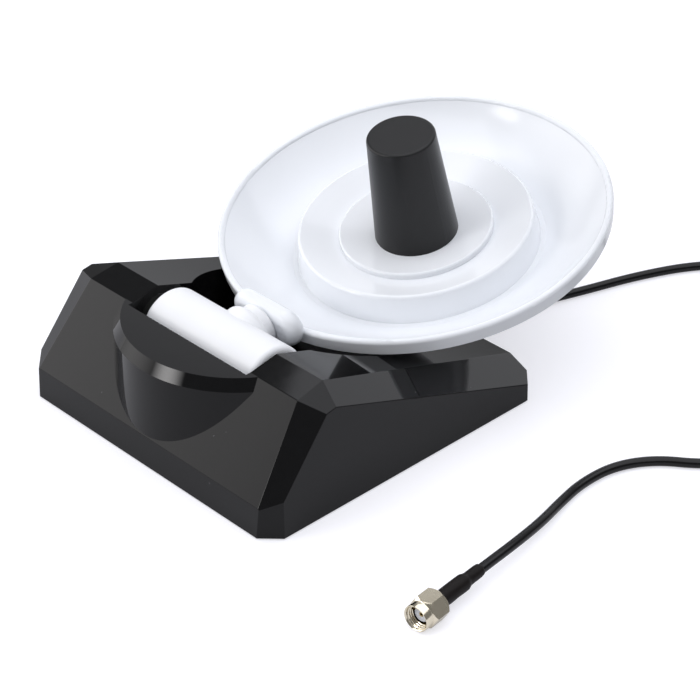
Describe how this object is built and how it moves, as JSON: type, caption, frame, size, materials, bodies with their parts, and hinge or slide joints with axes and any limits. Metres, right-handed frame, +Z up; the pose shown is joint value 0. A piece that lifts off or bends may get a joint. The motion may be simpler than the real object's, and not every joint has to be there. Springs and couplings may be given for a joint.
{
  "type": "directional antenna",
  "caption": "Desk antenna with a white dish and black feed cover on a tilting neck, over a black faceted wedge base, with a coaxial cord and a threaded plug.",
  "frame": {"origin": "on the desk under the middle of the base's outline", "axes": "+Z up, front of the base towards -Y, cord leaves at the back towards +Y"},
  "size_m": [0.1759, 0.2089, 0.0687],
  "materials": {
    "base_plastic": "glossy black moulding",
    "cover_plastic": "matt black moulding",
    "steel": "plain zinc-coated steel",
    "feet_rubber": "matt black rubber",
    "washer_plastic": "natural nylon",
    "cord_jacket": "smooth black jacket",
    "arm_plastic": "satin white moulding",
    "dish_plastic": "glossy white moulding",
    "plate_metal": "rolled sheet",
    "feed_plastic": "satin black moulding",
    "board_laminate": "green circuit board",
    "shrink_sleeve": "matt black shrunk sleeve",
    "nut_metal": "nickel plate with a warm tint",
    "plug_metal": "turned brass",
    "dielectric": "white fluoropolymer"
  },
  "bodies": {
    "base": {"base_shell": "base_plastic", "bottom_cover": "cover_plastic", "cover_screws": "steel", "rubber_feet": "feet_rubber", "hinge_pin": "steel", "hinge_tube": "steel", "friction_washers": "washer_plastic", "cable_grommet": "feet_rubber", "inner_lead": "cord_jacket", "cord_back": "cord_jacket", "cord_coil": "cord_jacket", "cord_front": "cord_jacket", "cord_tie": "cover_plastic", "heat_shrink": "shrink_sleeve", "crimp_ferrule": "nut_metal", "plug_body": "plug_metal", "plug_dielectric": "dielectric", "plug_contact": "plug_metal"},
    "arm": {"pivot_barrel": "arm_plastic", "dish_front": "dish_plastic", "dish_back": "dish_plastic", "dish_screws": "steel", "reflector_plate": "plate_metal", "feed_cover": "feed_plastic", "feed_board": "board_laminate"},
    "nut": {"plug_nut": "nut_metal"}
  },
  "joints": [
    {"name": "dish_tilt", "type": "hinge", "parent": "base", "child": "arm", "pos_m": [0, -0.023, 0.0242], "axis": [1, 0, 0], "range_deg": [0, 78]},
    {"name": "nut_spin", "type": "hinge", "parent": "base", "child": "nut", "pos_m": [0.1021, -0.049, 0.004], "axis": [0.0976, -0.9952, 0], "continuous": true}
  ]
}
